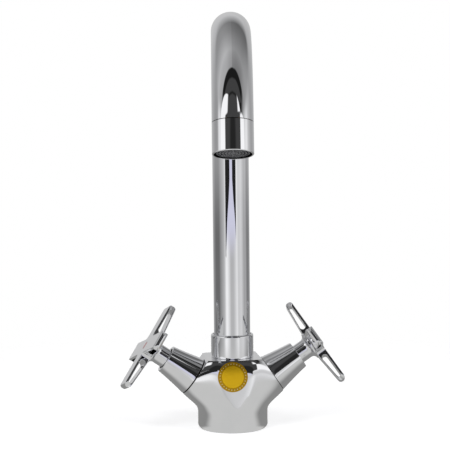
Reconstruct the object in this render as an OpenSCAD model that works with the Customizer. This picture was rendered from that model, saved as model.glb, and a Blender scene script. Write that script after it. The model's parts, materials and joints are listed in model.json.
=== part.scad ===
// Two handle kitchen faucet with a swivel gooseneck spout.
// The origin is the middle of the base on the deck. +Z is up, and the front of the body faces -Y.

/* [Body] */
// Diameter of the round base
base_d = 48.2; // [46:0.2:56]
// Height of the straight band of the base
base_h = 15.5; // [12:0.5:17]
// Rounding of the base's lower edge
base_edge_r = 1.8; // [0.8:0.1:2.2]
// Height of the flat top over the deck
top_z = 49.4; // [48:0.2:54]
// Width of the flat top, from valve to valve
top_w = 37.2; // [34:0.2:42]
// How far the flat top reaches in front of the spout's axis
top_front = 17.5; // [16:0.5:19]
// How far the flat top reaches behind the spout's axis
top_back = 20.5; // [17:0.5:21]
// Corner radius of the flat top
top_corner_r = 5; // [3:0.5:8]
// Height of the soft shoulder under the flat top
shoulder_h = 4.2; // [3:0.2:6]
// How far the shoulder stands out past the flat top, in front and behind
shoulder_out = 1.5; // [1:0.1:2]
// How far the casting swells past a straight slope, halfway up
belly_out = 0.7; // [0:0.1:1]

/* [Valves] */
// Angle of the valve axes above the deck
valve_tilt = 34.2; // [31:0.2:37]
// Height at which the valve axes cross the spout's axis
valve_cross_z = 17.9; // [16:0.1:19]
// Diameter of the body's face under the cover
seat_d = 28.4; // [28:0.1:30]
// Diameter of the headwork's threaded socket
socket_d = 20.8; // [19:0.1:21]
// Depth of the socket
socket_depth = 18.5; // [17:0.1:19]

/* [Covers] */
// Diameter of the cover at the body
cover_big_d = 27.5; // [26:0.1:28]
// Diameter of the cover at the handle
cover_small_d = 19.5; // [18.5:0.1:21]
// Length of the cover along its axis
cover_l = 22.6; // [21:0.1:24]
// How far the cover's side bulges past a straight cone, or falls short of it
cover_bulge = -0.2; // [-0.4:0.1:1]
// Wall of the cover
cover_wall = 1.4; // [1:0.1:1.8]

/* [Handles] */
// Length of the neck that shows between the cover and the handle
neck_show = 9.7; // [8:0.1:14]
// Radius from the handle's axis to an arm's tip
arm_reach = 33; // [30:0.5:38]
// Width of an arm at its tip
arm_tip_w = 14; // [11:0.5:15]
// Width of an arm at the hub
arm_root_w = 12.4; // [10:0.2:13]
// Thickness of the handle at the middle of the hub
hub_t = 7.6; // [7:0.1:9]
// Thickness of an arm at its tip
arm_tip_t = 5; // [4:0.1:6]
// Diameter of the neck that enters the cover
neck_d = 13.5; // [13:0.1:14]
// How far the crosses are turned on their stems at rest
handle_turn = 20; // [0:1:45]
// Diameter of the hot and cold dots
index_d = 5.6; // [4:0.1:7]

/* [Spout] */
// Outer diameter of the spout's tube
tube_d = 25; // [24:0.1:25.4]
// Wall of the tube
tube_wall = 1; // [0.8:0.1:1.4]
// Height at which the bend starts
bend_z = 192.5; // [150:0.5:240]
// Radius of the bend's centre line
bend_r = 78; // [60:0.5:95]
// How far the outlet leans out from straight down
outlet_lean = 16.8; // [5:0.2:30]
// How far the spout is turned from straight ahead at rest
spout_turn = 7; // [-30:0.5:30]
// Outer diameter of the collar at the spout's foot
collar_d = 29.2; // [28.8:0.1:32]
// Height of the collar
collar_h = 16; // [15:0.1:18]
// Rounding of the collar's upper edge
collar_edge_r = 1.2; // [0.4:0.1:1.3]

/* [Outlet] */
// Length of the outlet ring
outlet_l = 19; // [17:0.1:24]
// Seam between the tube and the outlet ring
outlet_seam = 0.4; // [0.2:0.05:0.8]
// Number of rings in the grille
grille_rings = 5; // [3:1:5]
// Number of spokes in the grille
grille_spokes = 8; // [4:1:12]

/* [Fixing] */
// Thread diameter of the hole for the fixing rod
stud_d = 8; // [6:0.5:10]
// Depth of the hole for the fixing rod
stud_depth = 14; // [10:1:14]
// Distance of the fixing rod from the spout's axis
stud_offset = 12; // [11:0.5:14]
// Thread diameter of the hose ports
hose_d = 10; // [8:0.5:11]
// Depth of the hose ports' threads
hose_depth = 10; // [8:0.5:10]
// Distance of each hose port from the spout's axis
hose_offset = 9.5; // [9:0.1:11]

/* [Hidden] */
// Radial clearance of a turning fit
running_gap = 0.05;
// Radial clearance of a screwed or seated fit
seated_gap = 0.1;
// Gap between faces that slide past each other
face_gap = 0.05;
// Overrun of cuts past the faces that they open
overrun = 1;

// Body: the turned faces' thin lands, and the passages
seat_slab = 3;
skin_step = 0.2;
seat_edge = 0.4;
passage_d = 7;
inlet_d = 8.4;
inlet_depth = 5.6;
mixing_d = 15;
mixing_floor_z = 31;
seal_outer_d = 44;
seal_inner_d = 38.6;
seal_t = 1.6;

// Collar, its spigot on the body, and the spout's foot
spigot_d = 26.8;
spigot_h = 10.6;
collar_lip = 2.5;
collar_gap = 0.4;
foot_d = 22.3;
foot_bore_d = 17;
foot_socket_z = 40.6;
foot_end_gap = 0.4;
foot_plug_l = 11;
foot_neck_d = 20.6;
split_ring_d = 26.3;
split_ring_gap = 0.1;
split_ring_slit = 4;
spout_o_ring_t = 1.8;
spout_o_ring_first = 4.4;
spout_o_ring_pitch = 5.6;

// Outlet: nipple, washer, screen and cage
nipple_d = 21.8;
nipple_bore_d = 17;
nipple_plug_l = 8;
nipple_thread_l = 7;
nipple_relief_d = 19.6;
nipple_relief_l = 0.8;
cage_d = 22.8;
cage_wall = 1.2;
cage_floor_t = 1.4;
cage_recess = 0.7;
outlet_edge = 0.3;
washer_inner_d = 17.4;
washer_t = 1.6;
screen_t = 0.6;
screen_hole_d = 2.2;
screen_pitch = 3.8;
screen_rows = 2;
grille_slot = 0.9;
grille_spoke_w = 0.8;
grille_hub_r = 1.2;

// Headwork, from the socket's floor outwards
seat_seal_t = 2;
seat_seal_d = 17.2;
seat_seal_bore = 10.6;
disc_d = 16;
disc_t = 3.1;
disc_port_r = 4.4;
disc_port_d = 4.2;
skirt_window_w = 9;
flange_d = 23;
flange_t = 2.5;
hex_flats = 17;
hex_l = 7.4;
valve_neck_d = 16;
valve_neck_l = 8.4;
cover_land_l = 4;
cover_land_gap = 2;
cover_mouth_gap = 0.6;
cover_mouth_t = 1.8;
cover_step = 0.45;

// Stem, its seals and its clip
stem_d = 10.6;
drive_d = 15.4;
drive_t = 1.5;
dog_w = 3.4;
dog_l = 9;
dog_depth = 1.2;
spline_d = 8;
spline_l = 10.4;
clip_d = 12.4;
clip_t = 0.8;
clip_groove = 0.5;
clip_slit = 5;
stem_o_ring_t = 1.36;
stem_o_ring_first = 6;
stem_o_ring_pitch = 6;
spline_land = 0.5;

// Handle: hub, neck, windows, screw and dot
neck_flare_r = 3.1;
neck_entry = 2.3;
arm_corner_r = 3;
window_start = 11.4;
window_tip_wall = 3.2;
outer_plate_t = 1.8;
inner_plate_t = 1;
grub_d = 3.8;
grub_l = 2.5;
grub_from_mouth = 2.9;
grub_key_share = 0.5;
grub_turn = 20;
index_t = 1;
bulge_steps = 8;

// Worked out from the sizes above
seat_reach = top_w / 2 * cos(valve_tilt) + (top_z - valve_cross_z) * sin(valve_tilt);
seat_gap_r = cover_big_d / 2 - cover_step;
socket_floor = seat_reach - socket_depth;
fixed_disc_s = socket_floor + seat_seal_t;
moving_disc_s = fixed_disc_s + disc_t + face_gap;
drive_s = moving_disc_s + disc_t;
skirt_roof_s = drive_s + drive_t + face_gap;
hex_s = seat_reach + flange_t;
valve_neck_s = hex_s + hex_l;
valve_top_s = valve_neck_s + valve_neck_l;
cover_end_s = seat_reach + cover_l;
neck_start_s = cover_end_s - neck_entry;
spline_s = valve_top_s - spline_land;
hub_inner_s = cover_end_s + neck_show;
handle_reach = hub_inner_s + hub_t;
grub_s = cover_end_s + grub_from_mouth;
cover_taper = (cover_big_d - cover_small_d) / 2 / cover_l;
stem_bore_r = stem_d / 2 + running_gap;
collar_top_z = top_z + collar_h;
lip_z = collar_top_z - collar_lip;
spigot_top_z = top_z + spigot_h;
split_ring_t = lip_z - split_ring_gap - spigot_top_z - face_gap;
cage_floor_z = -(outlet_seam + outlet_l - cage_recess);
nipple_end_z = -(outlet_seam + nipple_thread_l);
screen_z = nipple_end_z - washer_t - screen_t;
cage_top_z = screen_z - face_gap;
arm_slope = (hub_t - arm_tip_t) / arm_reach;
window_end = arm_reach - window_tip_wall;

$fn = 64;

// Radius of the cover's side at a distance from its seat
function cover_r(s) = cover_big_d / 2 - cover_taper * s + cover_bulge * sin(180 * s / cover_l);
// Thickness of an arm at a radius
function arm_t(r) = hub_t - arm_slope * r;

// Places its children along a valve's axis, with +Z outwards from the crossing. side is -1 left, 1 right.
module on_valve(side, s = 0) {
    translate([0, 0, valve_cross_z])
    rotate([0, side * (90 - valve_tilt), 0])
    translate([0, 0, s])
    children();
}

// Turns its children with the spout
module on_spout() {
    rotate([0, 0, -spout_turn])
    children();
}

// Places its children at the bend's end, with -Z along the water
module on_outlet() {
    on_spout()
    translate([0, -bend_r * (1 + cos(outlet_lean)), bend_z + bend_r * sin(outlet_lean)])
    rotate([-outlet_lean, 0, 0])
    children();
}

// A ring with a square section, standing on z
module ring(outer_d, inner_d, h, z = 0) {
    translate([0, 0, z])
    difference() {
        cylinder(d = outer_d, h = h);
        translate([0, 0, -overrun])
        cylinder(d = inner_d, h = h + 2 * overrun);
    }
}

// An O-ring of thickness t whose outer diameter is outer_d
module o_ring(outer_d, t, z) {
    translate([0, 0, z])
    rotate_extrude()
    translate([(outer_d - t) / 2, 0])
    circle(d = t);
}

// The groove that such an O-ring lies in
module o_ring_groove(outer_d, t, z) {
    groove_inner = outer_d - 2 * t - 2 * running_gap;
    ring(outer_d + 2 * overrun, groove_inner, t + 2 * seated_gap, z - t / 2 - seated_gap);
}

// Body

module base_band() {
    rotate_extrude()
    difference() {
        square([base_d / 2, base_h]);
        translate([base_d / 2 - base_edge_r, 0])
        difference() {
            translate([0, -overrun])
            square([base_edge_r + overrun, base_edge_r + overrun]);
            translate([0, base_edge_r])
            circle(r = base_edge_r);
        }
    }
}

// One level outline of the casting: four rounded corners, standing out past the flat top's outline
module level(z, corner_r, out, side_out = 0) {
    corner_x = top_w / 2 + side_out - corner_r;
    for (x = [-corner_x, corner_x], y = [corner_r - top_front - out, top_back + out - corner_r])
        translate([x, y, z - seat_edge])
        cylinder(r = corner_r, h = seat_edge, $fn = 32);
}

module body_skin() {
    shoulder_z = top_z - shoulder_h;
    shoulder_r = top_corner_r + shoulder_out;
    belly_z = (base_h + shoulder_z) / 2;
    belly_r = (base_d / 2 + shoulder_r) / 2;
    front_out = (base_d / 2 - top_front + shoulder_out) / 2 + belly_out;
    hull() {
        translate([0, 0, base_h - seat_edge])
        cylinder(r = base_d / 2 - skin_step, h = seat_edge, $fn = 64);
        intersection() {
            level(belly_z, belly_r, front_out, (base_d - top_w) / 4);
            translate([0, 0, belly_z - seat_edge])
            cylinder(r = base_d / 2 - seat_edge, h = seat_edge, $fn = 64);
        }
        level(shoulder_z, shoulder_r, shoulder_out);
        level(top_z, top_corner_r, 0);
        for (side = [-1, 1])
            on_valve(side, seat_reach - seat_slab)
            cylinder(d = seat_d, h = seat_slab, $fn = 48);
    }
}

module valve_socket(side) {
    on_valve(side, socket_floor)
    cylinder(d = socket_d, h = socket_depth + overrun);
    translate([0, 0, mixing_floor_z + passage_d / 2])
    rotate([0, side * 90, 0])
    cylinder(d = passage_d, h = socket_floor * cos(valve_tilt));
    on_valve(side, socket_floor - inlet_depth)
    cylinder(d = inlet_d, h = inlet_depth + overrun);
}

module hose_port(side) {
    translate([side * hose_offset, 0, -overrun])
    cylinder(d = hose_d, h = hose_depth + overrun);
    translate([side * hose_offset, 0, 0])
    cylinder(d = passage_d, h = valve_cross_z + inlet_depth);
}

module body() {
    color("silver")
    difference() {
        union() {
            base_band();
            body_skin();
            translate([0, 0, top_z - shoulder_h])
            cylinder(d = spigot_d, h = shoulder_h + spigot_h);
        }
        translate([0, 0, foot_socket_z])
        cylinder(d = foot_d + 2 * running_gap, h = top_z + spigot_h);
        translate([0, 0, mixing_floor_z])
        cylinder(d = mixing_d, h = foot_socket_z);
        for (side = [-1, 1]) {
            valve_socket(side);
            hose_port(side);
        }
        translate([0, -stud_offset, -overrun])
        cylinder(d = stud_d, h = stud_depth + overrun);
        ring(seal_outer_d, seal_inner_d, seal_t + overrun, -overrun);
    }
}

module base_seal() {
    color("dimgray")
    ring(seal_outer_d - 2 * seated_gap, seal_inner_d + 2 * seated_gap, seal_t);
}

// Spout

module collar() {
    collar_r = collar_d / 2;
    color("silver")
    translate([0, 0, top_z])
    rotate_extrude()
    difference() {
        square([collar_r, collar_h]);
        translate([0, -overrun])
        square([spigot_d / 2 + seated_gap, collar_h - collar_lip + overrun]);
        square([tube_d / 2 + collar_gap, collar_h + overrun]);
        translate([collar_r - collar_edge_r, collar_h - collar_edge_r])
        difference() {
            square([collar_edge_r + overrun, collar_edge_r + overrun]);
            circle(r = collar_edge_r);
        }
    }
}

module tube_section() {
    difference() {
        circle(d = tube_d);
        circle(d = tube_d - 2 * tube_wall);
    }
}

module spout_tube() {
    color("silver")
    on_spout() {
        translate([0, 0, lip_z])
        linear_extrude(height = bend_z - lip_z)
        tube_section();
        translate([0, -bend_r, bend_z])
        rotate([90, 0, 90])
        rotate_extrude(angle = 180 - outlet_lean)
        translate([bend_r, 0])
        tube_section();
    }
}

module spout_foot() {
    plug_d = tube_d - 2 * tube_wall - 2 * seated_gap;
    foot_z = foot_socket_z + foot_end_gap;
    neck_z = spigot_top_z;
    color("goldenrod")
    on_spout()
    difference() {
        union() {
            translate([0, 0, foot_z])
            cylinder(d = foot_d, h = neck_z - foot_z);
            translate([0, 0, foot_z])
            cylinder(d = foot_neck_d, h = lip_z - foot_z + seat_edge);
            translate([0, 0, lip_z])
            cylinder(d = plug_d, h = foot_plug_l);
        }
        translate([0, 0, foot_z - overrun])
        cylinder(d = foot_bore_d, h = lip_z + foot_plug_l);
        for (i = [0, 1])
            o_ring_groove(foot_d, spout_o_ring_t, foot_z + spout_o_ring_first + i * spout_o_ring_pitch);
    }
}

module spout_o_rings() {
    foot_z = foot_socket_z + foot_end_gap;
    color("black")
    on_spout()
    for (i = [0, 1])
        o_ring(foot_d, spout_o_ring_t, foot_z + spout_o_ring_first + i * spout_o_ring_pitch);
}

module spout_split_ring() {
    color("white")
    on_spout()
    difference() {
        ring(split_ring_d, foot_neck_d + 2 * running_gap, split_ring_t, spigot_top_z + face_gap);
        translate([0, -split_ring_slit / 2, spigot_top_z - overrun])
        cube([split_ring_d, split_ring_slit, split_ring_t + 3 * overrun]);
    }
}

// Outlet

module outlet_nipple() {
    plug_d = tube_d - 2 * tube_wall - 2 * seated_gap;
    // The plug's end is cut back so that it stays inside the bent bore
    color("goldenrod")
    on_outlet()
    difference() {
        union() {
            cylinder(d1 = plug_d, d2 = nipple_d - 2 * seated_gap, h = nipple_plug_l);
            translate([0, 0, nipple_end_z])
            cylinder(d = nipple_d, h = -nipple_end_z + seat_edge);
        }
        ring(
            nipple_d + 2 * overrun,
            nipple_relief_d,
            outlet_seam + nipple_relief_l,
            -outlet_seam - nipple_relief_l
        );
        translate([0, 0, nipple_end_z - overrun])
        cylinder(d = nipple_bore_d, h = nipple_plug_l - nipple_end_z + 2 * overrun);
    }
}

module aerator_housing() {
    outer_r = tube_d / 2;
    end_z = -(outlet_seam + outlet_l);
    color("silver")
    on_outlet()
    translate([0, 0, end_z])
    rotate_extrude()
    difference() {
        polygon([
            [0, 0],
            [outer_r - outlet_edge, 0],
            [outer_r, outlet_edge],
            [outer_r, outlet_l],
            [0, outlet_l]
        ]);
        translate([0, -overrun])
        square([cage_d / 2 + seated_gap, nipple_end_z - end_z + overrun]);
        square([nipple_d / 2 + seated_gap, outlet_l + overrun]);
    }
}

module aerator_seal() {
    color("black")
    on_outlet()
    ring(cage_d, washer_inner_d, washer_t - face_gap, nipple_end_z - washer_t);
}

module aerator_screen() {
    color("gray")
    on_outlet()
    translate([0, 0, screen_z])
    difference() {
        cylinder(d = cage_d, h = screen_t - face_gap);
        translate([0, 0, -overrun])
        cylinder(d = screen_hole_d, h = screen_t + 2 * overrun);
        for (row = [1 : screen_rows], i = [0 : 6 * row - 1])
            rotate([0, 0, 60 * i / row])
            translate([row * screen_pitch, 0, -overrun])
            cylinder(d = screen_hole_d, h = screen_t + 2 * overrun);
    }
}

module aerator_cage() {
    grille_r = cage_d / 2 - cage_wall;
    pitch = (grille_r - grille_hub_r) / grille_rings;
    color("dimgray")
    on_outlet()
    difference() {
        translate([0, 0, cage_floor_z])
        cylinder(d = cage_d, h = cage_top_z - cage_floor_z);
        translate([0, 0, cage_floor_z + cage_floor_t])
        cylinder(r = grille_r, h = cage_top_z - cage_floor_z);
        difference() {
            for (i = [0 : grille_rings - 1])
                ring(
                    2 * (grille_hub_r + i * pitch + grille_slot),
                    2 * (grille_hub_r + i * pitch),
                    cage_floor_t + 2 * overrun,
                    cage_floor_z - overrun
                );
            for (i = [0 : grille_spokes - 1])
                rotate([0, 0, 360 * i / grille_spokes])
                translate([0, -grille_spoke_w / 2, cage_floor_z - 2 * overrun])
                cube([cage_d / 2, grille_spoke_w, cage_floor_t + 4 * overrun]);
        }
    }
}

// Valves

module valve(side) {
    skirt_d = socket_d - 2 * seated_gap;
    skirt_h = seat_reach - fixed_disc_s;
    color("goldenrod")
    on_valve(side)
    difference() {
        union() {
            translate([0, 0, fixed_disc_s])
            cylinder(d = skirt_d, h = skirt_h);
            translate([0, 0, seat_reach])
            cylinder(d = flange_d, h = flange_t);
            translate([0, 0, hex_s])
            cylinder(r = hex_flats / 2 / cos(30), h = hex_l, $fn = 6);
            translate([0, 0, valve_neck_s])
            cylinder(d = valve_neck_d, h = valve_neck_l);
        }
        translate([0, 0, fixed_disc_s - overrun])
        cylinder(d = disc_d + 2 * seated_gap, h = skirt_roof_s - fixed_disc_s + overrun);
        translate([0, 0, fixed_disc_s])
        cylinder(r = stem_bore_r, h = valve_top_s);
        translate([-socket_d / 2 - overrun, -skirt_window_w / 2, moving_disc_s])
        cube([socket_d + 2 * overrun, skirt_window_w, disc_t]);
    }
}

module stem(side) {
    drive_top = drive_s + drive_t;
    color("goldenrod")
    on_valve(side)
    difference() {
        union() {
            translate([0, 0, drive_s])
            cylinder(d = drive_d, h = drive_t);
            translate([-dog_l / 2, -dog_w / 2, drive_s - dog_depth + face_gap])
            cube([dog_l, dog_w, dog_depth]);
            translate([0, 0, drive_top])
            cylinder(d = stem_d, h = spline_s - drive_top);
            translate([0, 0, spline_s])
            cylinder(d = spline_d, h = spline_l);
        }
        for (i = [0, 1])
            o_ring_groove(stem_d, stem_o_ring_t, drive_top + stem_o_ring_first + i * stem_o_ring_pitch);
        ring(
            spline_d + 2 * overrun,
            spline_d - 2 * clip_groove,
            clip_t + 2 * face_gap,
            valve_top_s
        );
    }
}

module stem_o_rings(side) {
    drive_top = drive_s + drive_t;
    color("black")
    on_valve(side)
    for (i = [0, 1])
        o_ring(stem_d, stem_o_ring_t, drive_top + stem_o_ring_first + i * stem_o_ring_pitch);
}

module stem_clip(side) {
    inner_d = spline_d - 2 * clip_groove + 2 * running_gap;
    color("gray")
    on_valve(side)
    difference() {
        ring(clip_d, inner_d, clip_t, valve_top_s + face_gap);
        translate([0, -clip_slit / 2, valve_top_s - overrun])
        cube([clip_d, clip_slit, clip_t + 3 * overrun]);
    }
}

module ceramic_disc(d, s, dogged) {
    translate([0, 0, s])
    difference() {
        cylinder(d = d, h = disc_t);
        for (x = [-disc_port_r, disc_port_r])
            rotate([0, 0, 90])
            translate([x, 0, -overrun])
            cylinder(d = disc_port_d, h = disc_t + 2 * overrun);
        if (dogged)
            translate([-dog_l / 2 - seated_gap, -dog_w / 2 - seated_gap, disc_t - dog_depth])
            cube([dog_l + 2 * seated_gap, dog_w + 2 * seated_gap, dog_depth + overrun]);
    }
}

module fixed_disc(side) {
    color("white")
    on_valve(side)
    ceramic_disc(disc_d, fixed_disc_s, false);
}

module moving_disc(side) {
    color("whitesmoke")
    on_valve(side)
    ceramic_disc(disc_d - 2 * running_gap, moving_disc_s, true);
}

module seat_seal(side) {
    color("black")
    on_valve(side)
    ring(seat_seal_d, seat_seal_bore, seat_seal_t - face_gap, socket_floor);
}

// Covers

module cover(side) {
    steps = [for (i = [0 : bulge_steps]) cover_l * i / bulge_steps];
    land_s = valve_neck_s + cover_land_gap - seat_reach;
    land_r = valve_neck_d / 2 + seated_gap;
    mouth_r = neck_d / 2 + cover_mouth_gap;
    inside_l = cover_l - cover_mouth_t;
    color("silver")
    on_valve(side, seat_reach)
    rotate_extrude()
    difference() {
        polygon(concat(
            [[0, 0], [seat_gap_r, 0], [seat_gap_r, cover_step]],
            [for (s = steps) [cover_r(s), max(s, cover_step)]],
            [[0, cover_l]]
        ));
        difference() {
            polygon([
                [0, -overrun],
                [seat_gap_r - cover_wall, -overrun],
                [seat_gap_r - cover_wall, 0],
                [cover_r(inside_l) - cover_wall, inside_l],
                [0, inside_l]
            ]);
            translate([land_r, land_s])
            square([cover_big_d, cover_land_l]);
        }
        square([mouth_r, cover_l + overrun]);
    }
}

// Handles

// One arm's side: outer face on y = 0, window cut through from side to side
module arm_side() {
    tip_r = arm_tip_t / 2;
    start_r = (arm_t(window_start) - outer_plate_t - inner_plate_t) / 2;
    end_r = (arm_t(window_end) - outer_plate_t - inner_plate_t) / 2;
    start_x = window_start + start_r;
    end_x = window_end - end_r;
    difference() {
        union() {
            polygon([
                [0, 0],
                [arm_reach - tip_r, 0],
                [arm_reach - tip_r, -arm_tip_t],
                [0, -hub_t]
            ]);
            translate([arm_reach - tip_r, -tip_r])
            circle(r = tip_r);
        }
        translate([start_x, -outer_plate_t - start_r])
        circle(r = start_r);
        translate([end_x, -outer_plate_t - end_r])
        circle(r = end_r);
        polygon([
            [start_x, -outer_plate_t],
            [end_x, -outer_plate_t],
            [end_x, -outer_plate_t - 2 * end_r],
            [start_x, -outer_plate_t - 2 * start_r]
        ]);
    }
}

// One arm seen along the handle's axis
module arm_outline() {
    corner_x = arm_reach - arm_corner_r;
    corner_y = arm_tip_w / 2 - arm_corner_r;
    polygon([
        [0, arm_root_w / 2],
        [corner_x, arm_tip_w / 2],
        [corner_x, corner_y],
        [arm_reach, corner_y],
        [arm_reach, -corner_y],
        [corner_x, -corner_y],
        [corner_x, -arm_tip_w / 2],
        [0, -arm_root_w / 2]
    ]);
    for (y = [-corner_y, corner_y])
        translate([corner_x, y])
        circle(r = arm_corner_r);
}

module arm() {
    intersection() {
        rotate([90, 0, 0])
        translate([0, 0, -arm_tip_w])
        linear_extrude(height = 2 * arm_tip_w)
        arm_side();
        translate([0, 0, -hub_t - overrun])
        linear_extrude(height = hub_t + 2 * overrun)
        arm_outline();
    }
}

module hub_and_neck() {
    neck_l = hub_inner_s - neck_start_s;
    neck_r = neck_d / 2;
    flare_r = neck_r + neck_flare_r;
    translate([0, 0, -hub_t])
    cylinder(r = flare_r, h = hub_t);
    translate([0, 0, -hub_t - neck_l])
    rotate_extrude()
    difference() {
        square([flare_r, neck_l + seat_edge]);
        translate([flare_r, neck_l - neck_flare_r])
        circle(r = neck_flare_r);
        translate([neck_r, -overrun])
        square([flare_r, neck_l - neck_flare_r + overrun]);
    }
}

module handle(side) {
    bore_l = spline_s + spline_l + seat_edge - neck_start_s;
    color("silver")
    on_valve(side, handle_reach)
    rotate([0, 0, -side * handle_turn])
    difference() {
        union() {
            hub_and_neck();
            for (i = [0 : 3])
                rotate([0, 0, 90 * i])
                arm();
        }
        translate([0, 0, neck_start_s - handle_reach - overrun])
        cylinder(d = spline_d + 2 * seated_gap, h = bore_l + overrun);
        translate([0, 0, -index_t])
        cylinder(d = index_d + 2 * seated_gap, h = index_t + overrun);
        on_grub(side)
        cylinder(d = grub_d + 2 * seated_gap, h = neck_d);
    }
}

// Places its children at the stem's side with +Z out through the neck, in the handle's own frame
module on_grub(side) {
    translate([0, 0, grub_s - handle_reach])
    rotate([0, 0, side > 0 ? grub_turn : 180 - grub_turn])
    rotate([90, 0, 0])
    children();
}

module handle_screw(side) {
    start = spline_d / 2 + seated_gap;
    color("gray")
    on_valve(side, handle_reach)
    rotate([0, 0, -side * handle_turn])
    on_grub(side)
    translate([0, 0, start])
    difference() {
        cylinder(d = grub_d, h = grub_l);
        translate([0, 0, grub_l * grub_key_share])
        cylinder(d = grub_d * grub_key_share, h = grub_l, $fn = 6);
    }
}

module index_dot(side, colour) {
    color(colour)
    on_valve(side, handle_reach - index_t)
    cylinder(d = index_d, h = index_t);
}

body();
base_seal();
collar();
spout_tube();
spout_foot();
spout_o_rings();
spout_split_ring();
outlet_nipple();
aerator_housing();
aerator_seal();
aerator_screen();
aerator_cage();
valve(-1);  // left_valve
stem(-1);  // left_stem
stem_o_rings(-1);  // left_stem_o_rings
stem_clip(-1);  // left_stem_clip
fixed_disc(-1);  // left_fixed_disc
moving_disc(-1);  // left_moving_disc
seat_seal(-1);  // left_seat_seal
cover(-1);  // left_cover
handle(-1);  // left_handle
handle_screw(-1);  // left_handle_screw
index_dot(-1, "firebrick");  // left_index
valve(1);  // right_valve
stem(1);  // right_stem
stem_o_rings(1);  // right_stem_o_rings
stem_clip(1);  // right_stem_clip
fixed_disc(1);  // right_fixed_disc
moving_disc(1);  // right_moving_disc
seat_seal(1);  // right_seat_seal
cover(1);  // right_cover
handle(1);  // right_handle
handle_screw(1);  // right_handle_screw
index_dot(1, "royalblue");  // right_index
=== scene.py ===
"""Two handle kitchen faucet in polished chrome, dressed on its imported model. Lengths are in metres."""

import json
from math import atan2, cos, pi, radians, sin, sqrt

import bmesh
import bpy
from mathutils import Matrix, Vector
from mathutils.bvhtree import BVHTree


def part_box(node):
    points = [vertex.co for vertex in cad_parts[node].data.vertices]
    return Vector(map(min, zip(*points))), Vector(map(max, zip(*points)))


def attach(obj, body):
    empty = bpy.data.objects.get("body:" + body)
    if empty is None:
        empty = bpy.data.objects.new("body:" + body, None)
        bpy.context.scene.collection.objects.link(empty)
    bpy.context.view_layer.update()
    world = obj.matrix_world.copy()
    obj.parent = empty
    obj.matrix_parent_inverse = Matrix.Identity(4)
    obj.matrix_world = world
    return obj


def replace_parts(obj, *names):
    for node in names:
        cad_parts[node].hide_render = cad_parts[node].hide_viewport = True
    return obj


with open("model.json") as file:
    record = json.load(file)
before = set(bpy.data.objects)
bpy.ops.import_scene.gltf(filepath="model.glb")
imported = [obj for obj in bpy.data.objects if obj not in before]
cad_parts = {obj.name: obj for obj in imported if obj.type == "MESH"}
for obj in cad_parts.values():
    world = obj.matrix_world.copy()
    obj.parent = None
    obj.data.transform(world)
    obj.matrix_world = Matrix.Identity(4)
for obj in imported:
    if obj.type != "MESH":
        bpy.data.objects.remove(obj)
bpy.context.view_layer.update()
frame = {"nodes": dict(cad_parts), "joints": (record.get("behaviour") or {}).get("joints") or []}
nodes = frame["nodes"]
joints = {joint["name"]: joint for joint in frame["joints"]}


# The body is a brass casting, ground and polished by hand and then chrome plated. Its round foot stands on
# the deck, its flat top carries the spout, and its two inclined arms end in turned seats for the valves.
mm = 0.001
body_low, body_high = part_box("body")
collar_low, collar_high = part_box("collar")
foot_r = (body_high.y - body_low.y) / 2
foot_h = 15.5 * mm
foot_edge_r = 1.8 * mm
foot_round_r = 0.99 * mm
foot_below = 2 * mm
top_z = collar_low.z
top_front = 19 * mm
top_back = 20.5 * mm
top_half_w = 18.6 * mm
top_corner_r = 5 * mm
corner_power = 0.8
dome_share = 0.34
dome_power = 18
roll_slope = 6
level_rises = [0, 0.2, 0.4, 0.6] + [0.7 + 0.02 * i for i in range(16)] + [1.15]
skin_low_z = 9 * mm
heart_z = 13 * mm
grind_from_z = foot_edge_r + 2 * mm
grind_passes = 70
cold_axis = -Vector(joints["cold_valve"]["axis"]).normalized()
valve_cross = Vector(joints["cold_valve"]["pos_m"])
valve_tilt = atan2(cold_axis.z, cold_axis.x)
seat_r = 14.2 * mm
seat_s = top_half_w * cos(valve_tilt) + (top_z - valve_cross.z) * sin(valve_tilt)
seat_inside = 1 * mm
seat_outside = 6 * mm
spigot_r = 13.4 * mm
spigot_h = 10.6 * mm
spigot_edge_r = 0.4 * mm
foot_bore_r = 11.2 * mm
foot_bore_z = 40.6 * mm
chamber_r = 5.5 * mm
chamber_z = 31 * mm
socket_r = 10.4 * mm
socket_depth = 18.5 * mm
inlet_r = 4.2 * mm
inlet_depth = 5.6 * mm
hose_r = 5 * mm
hose_depth = 10 * mm
hose_x = 9.5 * mm
stud_r = 4 * mm
stud_depth = 14 * mm
stud_y = -12 * mm
groove_in_r = 19.3 * mm
groove_out_r = 22 * mm
groove_depth = 1.6 * mm
cut_over = 1 * mm


def linear(hex_colour):
    """An sRGB hex colour as the linear colour that Blender works in."""
    parts = [int(hex_colour[i:i + 2], 16) / 255 for i in (1, 3, 5)]
    return tuple(c / 12.92 if c <= 0.04045 else ((c + 0.055) / 1.055) ** 2.4 for c in parts) + (1.0,)


def add_node(tree, kind, inputs=None, **settings):
    """Adds a node with its settings. Its inputs are values, other nodes' sockets, or nodes, which stand for
    their first output."""
    node = tree.nodes.new(kind)
    for name, value in settings.items():
        setattr(node, name, value)
    for socket, value in (inputs or {}).items():
        if isinstance(value, bpy.types.Node):
            value = next(output for output in value.outputs if output.enabled)
        if isinstance(value, bpy.types.NodeSocket):
            tree.links.new(value, node.inputs[socket])
        else:
            node.inputs[socket].default_value = value
    return node


def new_material(name, **shader_values):
    """An empty material, its node tree and its shader, which is already joined to the output."""
    material = bpy.data.materials.new(name)
    material.use_nodes = True
    tree = material.node_tree
    tree.nodes.clear()
    shader = add_node(tree, "ShaderNodeBsdfPrincipled")
    for socket, value in shader_values.items():
        shader.inputs[socket.replace("_", " ")].default_value = value
    add_node(tree, "ShaderNodeOutputMaterial", {"Surface": shader})
    return material, tree, shader


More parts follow.
